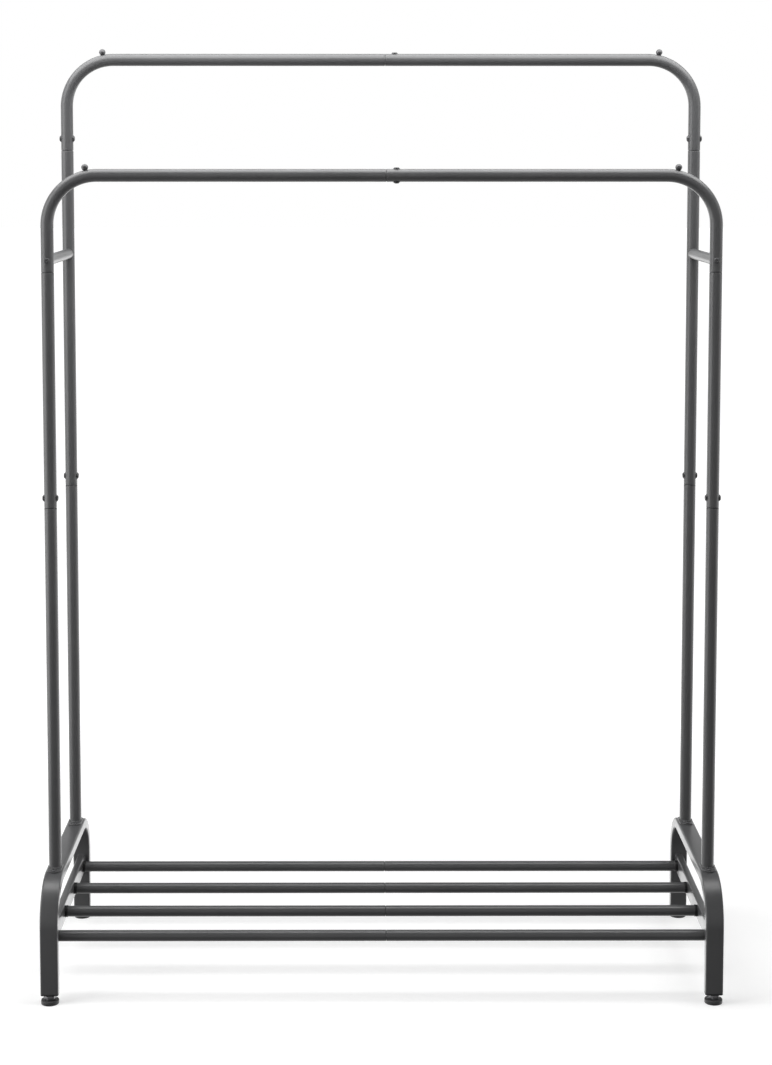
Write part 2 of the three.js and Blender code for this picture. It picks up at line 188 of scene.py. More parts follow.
def piece(name, lofts, material, sharp=SHARP["piece"], body="rack"):
    """One object from lofts, each a list of rings of points and whether its last ring joins its first.

    Its vertices hold how much wear each edge shows, by how sharp the edge is.
    """
    build = bmesh.new()
    for rings, closed in lofts:
        made = [[build.verts.new(point) for point in ring] for ring in rings]
        for first, second in zip(made, made[1:]):
            skin(build, first, second)
        if closed:
            skin(build, made[-1], made[0])
    bmesh.ops.recalc_face_normals(build, faces=build.faces)
    wear = build.verts.layers.float.new("wear")
    for vertex in build.verts:
        bend = max((edge.calc_face_angle(0) for edge in vertex.link_edges), default=0)
        vertex[wear] = min(max((bend - WEAR_FROM) / WEAR_SPAN, 0), 1)
    mesh = bpy.data.meshes.new(name)
    build.to_mesh(mesh)
    build.free()
    mesh.shade_smooth()
    mesh.set_sharp_from_angle(angle=math.radians(sharp))
    mesh.materials.append(material)
    thing = bpy.data.objects.new(name, mesh)
    bpy.context.scene.collection.objects.link(thing)
    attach(thing, body)
    return thing


def circle(radius, sides=TUBE_SIDES):
    return [
        (radius * math.cos(2 * math.pi * i / sides), radius * math.sin(2 * math.pi * i / sides))
        for i in range(sides)
    ]


def rounded_rectangle(width, tall, corner, steps=CORNER_STEPS):
    """An outline of a rectangle with round corners."""
    outline = []
    for quarter in range(4):
        x_sign = 1 if quarter in (0, 3) else -1
        y_sign = 1 if quarter in (0, 1) else -1
        centre_x = x_sign * (width / 2 - corner)
        centre_y = y_sign * (tall / 2 - corner)
        for i in range(steps + 1):
            angle = (quarter + i / steps) * math.pi / 2
            outline.append((centre_x + corner * math.cos(angle), centre_y + corner * math.sin(angle)))
    return outline


def hexagon(across, sides=BOLT_SIDES):
    """An outline of a hexagon, by its distance across flats."""
    outline = []
    for i in range(sides):
        angle = 2 * math.pi * i / sides
        from_flat = (angle + math.pi / 6) % (math.pi / 3) - math.pi / 6
        reach = across / 2 / math.cos(from_flat)
        outline.append((reach * math.cos(angle), reach * math.sin(angle)))
    return outline


def place_ring(outline, centre, across, up):
    return [centre + across * x + up * y for x, y in outline]


class Station:
    """A place on a tube's path: its centre, the two directions of its section, and its tangent."""

    def __init__(self, centre, along, across):
        self.centre = centre
        self.along = along
        self.across = across
        self.up = along.cross(across)

    def ring(self, outline, forward=0.0):
        return place_ring(outline, self.centre + self.along * forward, self.across, self.up)


def straight(start, end, across):
    """The stations at the two ends of a straight run."""
    along = (end - start).normalized()
    return [Station(start, along, across), Station(end, along, across)]


def quarter_bend(centre, start_out, end_out, radius, across):
    """Stations round a quarter bend, from the direction start_out to end_out, seen from its centre."""
    stations = []
    for i in range(BEND_STEPS + 1):
        angle = math.pi / 2 * i / BEND_STEPS
        out = start_out * math.cos(angle) + end_out * math.sin(angle)
        along = end_out * math.cos(angle) - start_out * math.sin(angle)
        stations.append(Station(centre + out * radius, along, across))
    return stations


def lip(station, section, forward):
    """Rings from the end face of a tube round its edge. section(cut) is the outline, less a cut.

    forward is 1 at the start of the tube and -1 at its end.
    """
    steps = 4
    rings = []
    for i in range(steps + 1):
        angle = math.pi / 2 * i / steps
        outline = section(LIP * (1 - math.sin(angle)))
        rings.append(station.ring(outline, forward * LIP * (1 - math.cos(angle))))
    return rings


def pressed(wider, thinner):
    """A shape for tube_loft that presses in a tube round its bends, most of all half way round."""

    def shape(i, points):
        amount = math.sin(math.pi * (i % (BEND_STEPS + 1)) / BEND_STEPS) ** 2
        return [(x * (1 + wider * amount), y * (1 - thinner * amount)) for x, y in points]

    return shape


def tube_loft(stations, outline, neck_length=0.0, shape=None):
    """A hollow tube along its stations. outline(inset) is its section, made smaller by inset.

    With a neck, the last station is a shoulder and the tube goes on from it, drawn down.
    shape(i, points) may change the section at station i, not counting the first station.
    """

    def run(inset, sign):
        start = stations[0]
        end = stations[-1]
        rings = lip(start, lambda cut: outline(inset + sign * cut), 1)
        rings.append(start.ring(outline(inset), LIP_RUN))
        for i, station in enumerate(stations[1:-1]):
            points = outline(inset)
            rings.append(station.ring(shape(i, points) if shape else points))
        rings.append(end.ring(outline(inset), -LIP_RUN))
        if neck_length:
            rings += lip(end, lambda cut: outline(inset + cut), -1)[::-1]
            drawn = inset + NECK_INSET
            rings.append(end.ring(outline(drawn), 0.1 * MM))
            rings.append(end.ring(outline(drawn), neck_length - LIP_RUN))
            tip = Station(end.centre + end.along * neck_length, end.along, end.across)
            rings += lip(tip, lambda cut: outline(drawn + sign * cut), -1)[::-1]
        else:
            rings += lip(end, lambda cut: outline(inset + sign * cut), -1)[::-1]
        return rings

    return run(0, 1) + run(WALL, -1)[::-1], True


def round_section(radius):
    return lambda inset: circle(radius - inset)


def rectangular_section(width, tall, corner):
    return lambda inset: rounded_rectangle(
        width - 2 * inset, tall - 2 * inset, max(corner - inset, 0.6 * MM)
    )


def turned_loft(profile, centre, axis, sides=BOLT_SIDES):
    """A turned solid from [radius, height] pairs. An outline in place of a radius makes it many-sided."""
    across = axis.orthogonal().normalized()
    up = axis.cross(across)
    rings = []
    for radius, height in profile:
        point = centre + axis * height
        if radius == 0:
            rings.append([point])
        else:
            outline = radius if isinstance(radius, list) else circle(radius, sides)
            rings.append(place_ring(outline, point, across, up))
    return rings, profile[0] == profile[-1]


def corner(radius, height, rounding, up=1, steps=5):
    """Profile points round an outer edge, from the side to the face above it, or below with up=-1."""
    points = []
    for i in range(steps + 1):
        angle = math.pi / 2 * i / steps
        side = radius - rounding * (1 - math.cos(angle))
        points.append((side, height - up * rounding * (1 - math.sin(angle))))
    return points


# ---- Materials --------------------------------------------------------------------------------

SPAN_SOCKETS = ("From Min", "From Max", "To Min", "To Max")


class Shading:
    """A material's node tree, with short calls for the nodes that every finish here uses."""

    def __init__(self, name):
        self.material = bpy.data.materials.new(name)
        self.material.use_nodes = True
        self.tree = self.material.node_tree
        self.surface = self.tree.nodes["Principled BSDF"]
        self.place = self.tree.nodes.new("ShaderNodeTexCoord").outputs["Object"]

    def link(self, source, target):
        self.tree.links.new(source, target)

    def noise(self, scale, detail):
        node = self.tree.nodes.new("ShaderNodeTexNoise")
        node.inputs["Scale"].default_value = scale
        node.inputs["Detail"].default_value = detail
        self.link(self.place, node.inputs["Vector"])
        return node.outputs["Fac"]

    def span(self, source, low, high, to_low, to_high):
        """Maps the values from low to high of a source to new ones, and holds them beyond."""
        node = self.tree.nodes.new("ShaderNodeMapRange")
        for socket, value in zip(SPAN_SOCKETS, (low, high, to_low, to_high)):
            node.inputs[socket].default_value = value
        self.link(source, node.inputs["Value"])
        return node.outputs["Result"]

    def patches(self, scale, detail, to_low, to_high):
        """Soft patches of values between two."""
        return self.span(self.noise(scale, detail), 0.3, 0.7, to_low, to_high)

    def wear(self, start, most):
        """How worn the film is: nothing up to the start, and the most on the sharpest edges."""
        node = self.tree.nodes.new("ShaderNodeAttribute")
        node.attribute_name = "wear"
        return self.span(node.outputs["Fac"], start, 1, 0, most)

    def mix(self, factor, first, second):
        """A colour between two; the first may be a colour or another node's output."""
        node = self.tree.nodes.new("ShaderNodeMix")
        node.data_type = "RGBA"
        self.link(factor, node.inputs["Factor"])
        colour_a, colour_b = node.inputs[6:8]
        colour_b.default_value = (*second, 1)
        if isinstance(first, tuple):
            colour_a.default_value = (*first, 1)
        else:
            self.link(first, colour_a)
        return node.outputs[2]

    def bump(self, height, strength, distance, base=None):
        """Relief from a height, over the relief of another bump if there is one."""
        node = self.tree.nodes.new("ShaderNodeBump")
        node.inputs["Strength"].default_value = strength
        node.inputs["Distance"].default_value = distance
        self.link(height, node.inputs["Height"])
        if base is not None:
            self.link(base, node.inputs["Normal"])
        return node.outputs["Normal"]

    def finished(self, colour, roughness, relief):
        self.link(colour, self.surface.inputs["Base Color"])
        self.link(roughness, self.surface.inputs["Roughness"])
        self.link(relief, self.surface.inputs["Normal"])
        return self.material


def powder_coat():
    """Charcoal powder coat: fine orange peel, faint cloudiness, and a thinner, brighter film on edges."""
    look = Shading("powder_coat")
    look.surface.inputs["IOR"].default_value = 1.5
    colour = look.mix(look.patches(9, 4, 0, 1), (0.066, 0.0665, 0.0685), (0.076, 0.0765, 0.0785))
    speck = look.span(look.noise(2600, 2), 0.62, 0.78, 0, 0.5)
    colour = look.mix(speck, colour, (0.105, 0.105, 0.108))
    colour = look.mix(look.wear(0.2, 0.4), colour, (0.13, 0.13, 0.133))
    peel = look.bump(look.noise(750, 1.5), 0.18, 0.06 * MM)
    grain = look.bump(look.noise(3200, 2), 0.12, 0.02 * MM, peel)
    return look.finished(colour, look.patches(14, 3, 0.3, 0.36), grain)


def black_fastener():
    """Black-plated screws: dark, fairly glossy metal with worn edges."""
    look = Shading("black_fastener")
    look.surface.inputs["Metallic"].default_value = 0.35
    colour = look.mix(look.patches(300, 3, 0, 1), (0.055, 0.055, 0.057), (0.075, 0.075, 0.078))
    colour = look.mix(look.wear(0.1, 0.5), colour, (0.16, 0.16, 0.16))
    grain = look.bump(look.noise(1500, 2), 0.15, 0.02 * MM)
    return look.finished(colour, look.patches(500, 2, 0.2, 0.3), grain)


def zinc_plate(name, dark, light, roughness):
    """Zinc plate: cloudy patches of colour and gloss over a fine grain."""
    look = Shading(name)
    look.surface.inputs["Metallic"].default_value = 0.9
    colour = look.mix(look.patches(120, 4, 0, 1), dark, light)
    grain = look.bump(look.noise(2000, 2), 0.2, 0.02 * MM)
    return look.finished(colour, look.patches(400, 3, roughness, roughness + 0.12), grain)


def black_plastic(name, dark, light):
    """Moulded black plastic with a fine spark-eroded grain and scuffed edges."""
    look = Shading(name)
    look.surface.inputs["IOR"].default_value = 1.42
    colour = look.mix(look.patches(60, 4, 0, 1), dark, light)
    colour = look.mix(look.wear(0.3, 0.35), colour, (0.05, 0.05, 0.05))
    grain = look.bump(look.noise(2200, 3), 0.4, 0.04 * MM)
    return look.finished(colour, look.patches(200, 3, 0.42, 0.55), grain)


STEEL = powder_coat()
FASTENER = black_fastener()
ZINC = zinc_plate("zinc", (0.38, 0.39, 0.4), (0.5, 0.51, 0.52), 0.28)
BLACK_ZINC = zinc_plate("black_zinc", (0.13, 0.13, 0.135), (0.17, 0.17, 0.175), 0.3)
PLASTIC = black_plastic("black_plastic", (0.034, 0.034, 0.035), (0.048, 0.048, 0.049))
COLLAR_PLASTIC = black_plastic("collar_plastic", (0.009, 0.009, 0.0095), (0.014, 0.014, 0.0145))


def steel_piece(name, lofts, node):
    """A powder-coated piece that stands for a CAD node."""
    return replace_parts(piece(name, lofts, STEEL), node)


def steel_tube(node, loft):
    return steel_piece(f"{node}_tube", [loft], node)


# ---- Side frames ------------------------------------------------------------------------------


def arch_tube(side):
    """The bent rectangular tube: front leg, top and rear leg, slightly pressed in round its bends."""
    node = f"arch_{side}"
    low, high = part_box(node)
    x = (low.x + high.x) / 2
    bend_radius = ARCH_BEND - ARCH_THICK / 2
    bend_z = high.z - ARCH_BEND
    bend_y = high.y - ARCH_BEND
    leg_y = high.y - ARCH_THICK / 2
    stations = [Station(Vector((x, -leg_y, low.z)), Z_AXIS, X_AXIS)]
    stations += quarter_bend(Vector((x, -bend_y, bend_z)), -Y_AXIS, Z_AXIS, bend_radius, X_AXIS)
    stations += quarter_bend(Vector((x, bend_y, bend_z)), Z_AXIS, Y_AXIS, bend_radius, X_AXIS)
    stations.append(Station(Vector((x, leg_y, low.z)), -Z_AXIS, X_AXIS))
    section = rectangular_section(high.x - low.x, ARCH_THICK, ARCH_CORNER)
    return steel_tube(node, tube_loft(stations, section, shape=pressed(*ARCH_PRESS)))


def side_rail_tube(side):
    """The straight rectangular tube between two legs that carries the shelf bars."""
    node = f"side_rail_{side}"
    low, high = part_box(node)
    centre = (low + high) / 2
    run = straight(Vector((centre.x, low.y, centre.z)), Vector((centre.x, high.y, centre.z)), X_AXIS)
    section = rectangular_section(high.x - low.x, high.z - low.z, SIDE_RAIL_CORNER)
    return steel_tube(node, tube_loft(run, section))


def bead(name, points, normal, radius):
    """A weld bead round a closed line: overlapping ripples on a soft round section."""
    count = len(points)
    lengths = [(points[(i + 1) % count] - points[i]).length for i in range(count)]
    whole = sum(lengths)
    ripple_steps = 6
    steps = round(whole / BEAD_PITCH) * ripple_steps
    rings = []
    for step in range(steps):
        travelled = whole * step / steps
        i = 0
        while travelled > lengths[i]:
            travelled -= lengths[i]
            i += 1
        start = points[i]
        end = points[(i + 1) % count]
        along = (end - start).normalized()
        centre = start.lerp(end, travelled / lengths[i])
        ripple = math.sin(math.pi * (step % ripple_steps) / ripple_steps)
        wander = math.sin(0.37 * step)  # no two ripples are quite alike
        size = radius * (0.78 + 0.22 * ripple + 0.06 * wander)
        rings.append(place_ring(circle(size, BEAD_SIDES), centre, normal, along.cross(normal)))
    return piece(name, [(rings, True)], STEEL, sharp=SHARP["bead"])


def post_bead(end, side):
    """The weld round the foot of a post."""
    height = ARCH_TOP + FOOT_PLATE["thick"] + 0.4 * MM
    centre = Vector((SIDES[side] * SIDE_X, ENDS[end] * POST_Y, height))
    line = place_ring(circle(TUBE_RADIUS + 0.2 * MM, 72), centre, X_AXIS, Y_AXIS)
    return bead(f"post_weld_{end}_{side}", line, Z_AXIS, POST_BEAD)


def arch_surface(x, y):
    """A point on the upper surface of an arch, and the surface's normal there."""
    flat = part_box("arch_right")[1].y - ARCH_BEND
    tilt = math.asin(max(abs(y) - flat, 0) / ARCH_BEND) * (1 if y > 0 else -1)
    height = ARCH_TOP - ARCH_BEND * (1 - math.cos(tilt))
    return Vector((x, y, height)), Vector((0, math.sin(tilt), math.cos(tilt)))


def foot_plate(end, side):
    """The round-ended plate under a post, bent to follow the arch, that its screws hold down."""
    x = SIDES[side] * SIDE_X
    y = ENDS[end] * POST_Y
    radius = FOOT_PLATE["width"] / 2
    straight_half = FOOT_PLATE["length"] / 2 - radius
    thick = FOOT_PLATE["thick"]
    steps = 12
    last = math.radians(87)  # just short of the very end, which is one point
    arc = [last * i / steps for i in range(steps + 1)]
    rounded_end = [(straight_half + radius * math.sin(a), radius * math.cos(a)) for a in arc]
    sides = [(straight_half * (2 * i / steps - 1), radius) for i in range(1, steps)]
    outline = [(-along, half) for along, half in rounded_end[::-1]] + sides + rounded_end
    rings = []
    for along, half in outline:
        point, normal = arch_surface(x, y + along)
        section = rounded_rectangle(2 * half, thick, min(0.7 * MM, 0.9 * half), steps=4)
        rings.append(place_ring(section, point + normal * thick / 2, X_AXIS, normal))
    rings.insert(0, [sum(rings[0], Vector()) / len(rings[0])])
    rings.append([sum(rings[-1], Vector()) / len(rings[-1])])
    return steel_piece(f"foot_plate_{end}_{side}", [(rings, False)], f"lower_post_{end}_{side}")


def plate_screw(end, side, place):
    """A button-headed screw through a foot plate, before or behind its post."""
    y = ENDS[end] * POST_Y + ENDS[place] * FOOT_PLATE["screw"]
    point, normal = arch_surface(SIDES[side] * SIDE_X, y)
    seat = FOOT_PLATE["thick"]
    screw = bolt_loft(seat - SCREW_LENGTH, seat, point, normal)
    return fastener(f"plate_screw_{place}_{end}_{side}", [screw])


def side_rail_bead(end, side):
    """The weld round the end of a side rail, against the leg."""
    low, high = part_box(f"side_rail_{side}")
    centre = (low + high) / 2
    centre.y = high.y if end == "rear" else low.y
    outline = rounded_rectangle(high.x - low.x, high.z - low.z, SIDE_RAIL_CORNER)
    line = place_ring(outline, centre, X_AXIS, Z_AXIS)
    return bead(f"side_rail_weld_{end}_{side}", line, Y_AXIS, RAIL_BEAD)


def post(node, top_joint):
    """A straight round post whose upper end is drawn down to a neck that enters the next tube."""
    low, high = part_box(node)
    centre = (low + high) / 2
    run = straight(Vector((centre.x, centre.y, low.z)), Vector((centre.x, centre.y, top_joint)), X_AXIS)
    return steel_tube(node, tube_loft(run, round_section(TUBE_RADIUS), high.z - top_joint))


def crossbar(side):
    """The bar between the front and rear posts, its ends coped to sit on them."""
    node = f"crossbar_{side}"
    centre = middle(node)
    outer = extent(node).x / 2
    # How much the radius is cut, and how far from the end.
    edge = [(LIP, 0.0), (0.3 * LIP, 0.3 * LIP), (0.0, LIP), (0.0, LIP_RUN)]

    def coped_ring(radius, direction, back):
        ring = []
        for x, z in circle(radius):
            reach = POST_Y - math.sqrt(TUBE_RADIUS**2 - x**2) - back
            ring.append(centre + Vector((x, direction * reach, z)))
        return ring

    def run(radius, sign):
        front = [coped_ring(radius - sign * cut, -1, back) for cut, back in edge]
        rear = [coped_ring(radius - sign * cut, 1, back) for cut, back in edge[::-1]]
        return front + rear

    return steel_tube(node, (run(outer, 1) + run(outer - WALL, -1)[::-1], True))


# ---- Hanging rails and shelf ------------------------------------------------------------------


def rail_half(end, side):
    """Half of a hanging rail: up from its post, round the bend and in to the middle."""
    node = f"rail_{end}_{side}"
    low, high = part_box(node)
    sign = SIDES[side]
    y = ENDS[end] * POST_Y
    outward = X_AXIS * sign
    bend_centre = Vector((sign * (SIDE_X - RAIL_BEND), y, RAIL_Z[end] - RAIL_BEND))
    has_neck = side == "left"
    split = SPLIT_X if has_neck else low.x
    across = Y_AXIS
    stations = [Station(Vector((sign * SIDE_X, y, low.z)), Z_AXIS, across)]
    stations += quarter_bend(bend_centre, outward, Z_AXIS, RAIL_BEND, across)
    stations.append(Station(Vector((split, y, RAIL_Z[end])), -outward, across))
    neck_length = high.x - SPLIT_X if has_neck else 0.0
    section = round_section(TUBE_RADIUS)
    return steel_tube(node, tube_loft(stations, section, neck_length, pressed(*RAIL_PRESS)))


def shelf_bar_half(number, side):
    """Half of a shelf bar; the left half ends in the neck that enters the right half."""
    node = f"shelf_bar_{number}_{side}"
    low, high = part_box(node)
    centre = (low + high) / 2
    end_x = SPLIT_X if side == "left" else high.x
    run = straight(Vector((low.x, centre.y, centre.z)), Vector((end_x, centre.y, centre.z)), Y_AXIS)
    return steel_tube(node, tube_loft(run, round_section((high.z - low.z) / 2), high.x - end_x))


def bar_collar(number, side):
    """The black plastic ring round the end of a shelf bar, against the side rail."""
    bar = middle(f"shelf_bar_{number}_{side}")
    inward = -X_AXIS * SIDES[side]
    inner_face = abs(middle(f"side_rail_{side}").x) - extent(f"side_rail_{side}").x / 2
    face = Vector((SIDES[side] * inner_face, bar.y, bar.z))
    bore = extent(f"shelf_bar_{number}_{side}").z / 2 + 0.05 * MM
    profile = [(bore, COLLAR["width"])]
    profile += corner(COLLAR["radius"], COLLAR["width"], 0.7 * MM)[::-1]
    profile += corner(COLLAR["radius"], 0.1 * MM, 0.3 * MM, up=-1)
    profile += [(bore, 0.1 * MM), (bore, COLLAR["width"])]
    loft = turned_loft(profile, face, inward, TUBE_SIDES)
    return piece(f"bar_collar_{number}_{side}", [loft], COLLAR_PLASTIC)


# ---- Fasteners --------------------------------------------------------------------------------


def socket_head(seat):
    """The profile of a button head with a hexagon socket, from its seat to the socket's floor."""
    top = seat + HEAD["tall"]
    profile = [(HEAD["radius"] - 0.3 * MM, seat), (HEAD["radius"], seat + 0.25 * MM)]
    profile.append((HEAD["radius"], seat + HEAD["rim"]))
    flat = HEAD["socket"] + 0.9 * MM
    for i in range(1, DOME_STEPS + 1):
        angle = math.pi / 2 * i / DOME_STEPS
        radius = flat + (HEAD["radius"] - flat) * math.cos(angle)
        profile.append((radius, seat + HEAD["rim"] + (HEAD["tall"] - HEAD["rim"]) * math.sin(angle)))
    flats = 2 * HEAD["socket"] * 0.87  # across the flats, from the radius at the corners
    socket = hexagon(flats)
    profile.append((hexagon(1.12 * flats), top))
    profile += [(socket, top - 0.25 * MM), (socket, top - HEAD["depth"])]
    profile.append((0, top - HEAD["depth"] - 0.5 * MM))
    return profile


def cap_nut(seat):
    """The profile of a low domed nut, from its crown to its seat."""
    profile = [(0, seat + NUT["tall"])]
    for i in range(1, DOME_STEPS + 1):
        angle = math.pi / 2 * i / DOME_STEPS
        height = NUT["rim"] + (NUT["tall"] - NUT["rim"]) * math.cos(angle)
        profile.append((NUT["radius"] * math.sin(angle), seat + height))
    profile += [(NUT["radius"], seat + 0.25 * MM), (NUT["radius"] - 0.3 * MM, seat)]
    return profile


def bolt_loft(tip, seat, centre, axis):
    """A button-headed bolt, from its chamfered tip to its head; both are distances from the centre."""
    point = [(0, tip), (SHANK_RADIUS - TIP_CHAMFER, tip), (SHANK_RADIUS, tip + TIP_CHAMFER)]
    return turned_loft([*point, (SHANK_RADIUS, seat), *socket_head(seat)], centre, axis)


def washer_section():
    """A washer's section, from its hole out round its rim, as radius and height."""
    hole, rim, thick, edge = (WASHER[key] for key in ("hole", "radius", "thick", "edge"))
    outside = [(rim - edge, 0), (rim, edge), (rim, thick - edge), (rim - edge, thick)]
    return [(hole, 0), *outside, (hole, thick)]


def flat_washer(face, axis):
    """A washer that lies on a flat face."""
    profile = [(radius, height + WASHER_LIFT["flat"]) for radius, height in washer_section()]
    return turned_loft([*profile, profile[0]], face, axis)


def saddle_washer(centre, axis, tube_axis):
    """A thin washer bent to sit on a round tube."""
    across = axis.cross(tube_axis)
    rings = []
    for radius, height in washer_section():
        ring = []
        for along, sideways in circle(radius, BOLT_SIDES):
            surface = math.sqrt(max(TUBE_RADIUS**2 - sideways**2, 0)) + WASHER_LIFT["saddle"]
            ring.append(centre + tube_axis * along + across * sideways + axis * (surface + height))
        rings.append(ring)
    return rings, True


def fastener(name, lofts):
    return piece(name, lofts, FASTENER, sharp=SHARP["fastener"])


def through_bolt(node, axis, tube_axis):
    """A bolt right through a tube: button head, washers, shank and cap nut."""
    centre = middle(node)
    seat = TUBE_RADIUS + BOLT_SEAT
    nut = [(radius, -height) for radius, height in cap_nut(seat)]
    shank = [(SHANK_RADIUS, -seat), (SHANK_RADIUS, seat)]
    bolt = turned_loft(nut + shank + socket_head(seat), centre, axis)
    washers = [saddle_washer(centre, direction, tube_axis) for direction in (axis, -axis)]
    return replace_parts(fastener(f"{node}_fastener", [bolt, *washers]), node)


def rear_rail_bolt():
    """The bolt in the middle of the rear rail, which screws into the neck there and has no nut."""
    node = "rail_bolt_rear"
    centre = Vector((middle(node).x, ENDS["rear"] * POST_Y, RAIL_Z["rear"]))
    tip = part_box(node)[0].z - RAIL_Z["rear"]
    bolt = bolt_loft(tip, TUBE_RADIUS + BOLT_SEAT, centre, Z_AXIS)
    washer = saddle_washer(centre, Z_AXIS, X_AXIS)
    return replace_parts(fastener(f"{node}_fastener", [bolt, washer]), node)


def crossbar_bolt(end, side):
    """A bolt through a post into the end of a crossbar; its head beds straight on the post."""
    node = f"crossbar_bolt_{end}_{side}"
    centre = Vector((SIDES[side] * SIDE_X, ENDS[end] * POST_Y, middle(node).z))
    tip = TUBE_RADIUS + HEAD["tall"] - extent(node).y
    bolt = bolt_loft(tip, TUBE_RADIUS - BEDDING, centre, Y_AXIS * ENDS[end])
    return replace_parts(fastener(f"{node}_fastener", [bolt]), node)


def crossbar_insert(end, side):
    """The tapped sleeve in the end of a crossbar."""
    node = f"crossbar_insert_{end}_{side}"
    half = extent(node).y / 2
    radius = extent(node).z / 2
    bore = SHANK_RADIUS + GAP
    edge = 0.4 * MM
    profile = [(bore, -half), (radius - edge, -half), (radius, edge - half), (radius, half - edge)]
    profile += [(radius - edge, half), (bore, half), (bore, -half)]
    loft = turned_loft(profile, middle(node), Y_AXIS)
    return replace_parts(piece(f"{node}_sleeve", [loft], ZINC), node)


def shelf_bolt(number, side):
    """The button head and washer on the outer face of a side rail that hold a shelf bar."""
    bar = middle(f"shelf_bar_{number}_{side}")
    rail = f"side_rail_{side}"
    outward = X_AXIS * SIDES[side]
    face = Vector((middle(rail).x, bar.y, bar.z)) + outward * extent(rail).x / 2
    seat = WASHER["thick"]
    lofts = [bolt_loft(seat - SCREW_LENGTH, seat, face, outward), flat_washer(face, outward)]
    return fastener(f"shelf_bolt_{number}_{side}", lofts)


def hanger_stop(end, side):
    """The ball-headed pin that keeps hangers on a rail."""
    node = f"hanger_stop_{end}_{side}"
    low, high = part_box(node)
    centre = (low + high) / 2
    radius = (high.x - low.x) / 2
    ball = high.z - radius
    profile = [(0, low.z), (STOP_SHANK - 0.4 * MM, low.z), (STOP_SHANK, low.z + 0.4 * MM)]
    neck_z = ball - math.sqrt(radius**2 - STOP_SHANK**2)
    profile.append((STOP_SHANK, neck_z))
    start = math.asin((neck_z - ball) / radius)
    steps = 18
    for i in range(1, steps):
        angle = start + (math.pi / 2 - start) * i / steps
        profile.append((radius * math.cos(angle), ball + radius * math.sin(angle)))
    profile.append((0, high.z))
    loft = turned_loft(profile, Vector((centre.x, centre.y, 0)), Z_AXIS, TUBE_SIDES)
    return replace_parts(piece(f"{node}_pin", [loft], FASTENER), node)


# ---- Levelling feet ---------------------------------------------------------------------------


def leg_plug(end, side):
    """The plug in the end of a leg: a rounded flange under the tube, a body inside, and a tapped hole."""
    node = f"leg_plug_{end}_{side}"
    wide, deep, tall = extent(node)
    base = Vector((middle(node).x, middle(node).y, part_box(node)[0].z))
    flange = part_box(f"arch_{side}")[0].z - base.z - GAP
    body = 2 * (WALL + GAP)

    def section(inset, rounding, height):
        return rounded_rectangle(wide - inset, deep - inset, rounding, PLUG_CORNER_STEPS), height

    profile = [
        (plug_hole(1.14 * STUD_HOLE), 0),
        section(2.0 * MM, 2.6 * MM, 0),
        section(0.9 * MM, 3.0 * MM, 0.25 * MM),
        section(0.2 * MM, 3.2 * MM, 0.8 * MM),
        section(0, 3.3 * MM, flange),
        section(body, 2.2 * MM, flange),
        section(body, 2.2 * MM, tall),
        (plug_hole(STUD_HOLE), tall),
        (plug_hole(STUD_HOLE), 0.7 * MM),
    ]
    rings = [place_ring(outline, base + Z_AXIS * height, X_AXIS, Y_AXIS) for outline, height in profile]
    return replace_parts(piece(f"{node}_moulding", [(rings, True)], PLASTIC), node)


def plug_hole(radius):
    """A round outline with as many points as a section of the plug."""
    count = 4 * (PLUG_CORNER_STEPS + 1)
    angles = [2 * math.pi * (i + 0.5) / count for i in range(count)]
    return [(radius * math.cos(angle), radius * math.sin(angle)) for angle in angles]


def foot_pad(end, side):
    """The round foot: a soft-edged disc with a raised collar round the swivel socket."""
    node = f"foot_pad_{end}_{side}"
    base = Vector((middle(node).x, middle(node).y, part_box(node)[0].z))
    radius = extent(node).x / 2
    tall = extent(node).z
    inside = radius - PAD["rim"]
    shoulder = tall - PAD["collar_tall"]
    collar = SOCKET_RADIUS + PAD["collar"]
    profile = [(0, PAD["hollow"]), (inside, PAD["hollow"]), (inside + 0.4 * MM, 0.0)]
    profile += corner(radius, 0.0, PAD["sole_edge"], up=-1)[::-1]
    profile += corner(radius, shoulder, PAD["top_edge"], steps=8)
    profile += [(collar, shoulder), (collar - 0.5 * MM, tall - 0.2 * MM), (collar - 1 * MM, tall)]
    profile += [(SOCKET_RADIUS + 0.4 * MM, tall), (SOCKET_RADIUS, tall - 0.4 * MM)]
    profile += [(SOCKET_RADIUS, SOCKET_FLOOR), (0, SOCKET_FLOOR)]
    loft = turned_loft(profile, base, Z_AXIS, TUBE_SIDES)
    moulded = piece(f"{node}_moulding", [loft], PLASTIC, body=f"pad_{end}_{side}")
    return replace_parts(moulded, node)


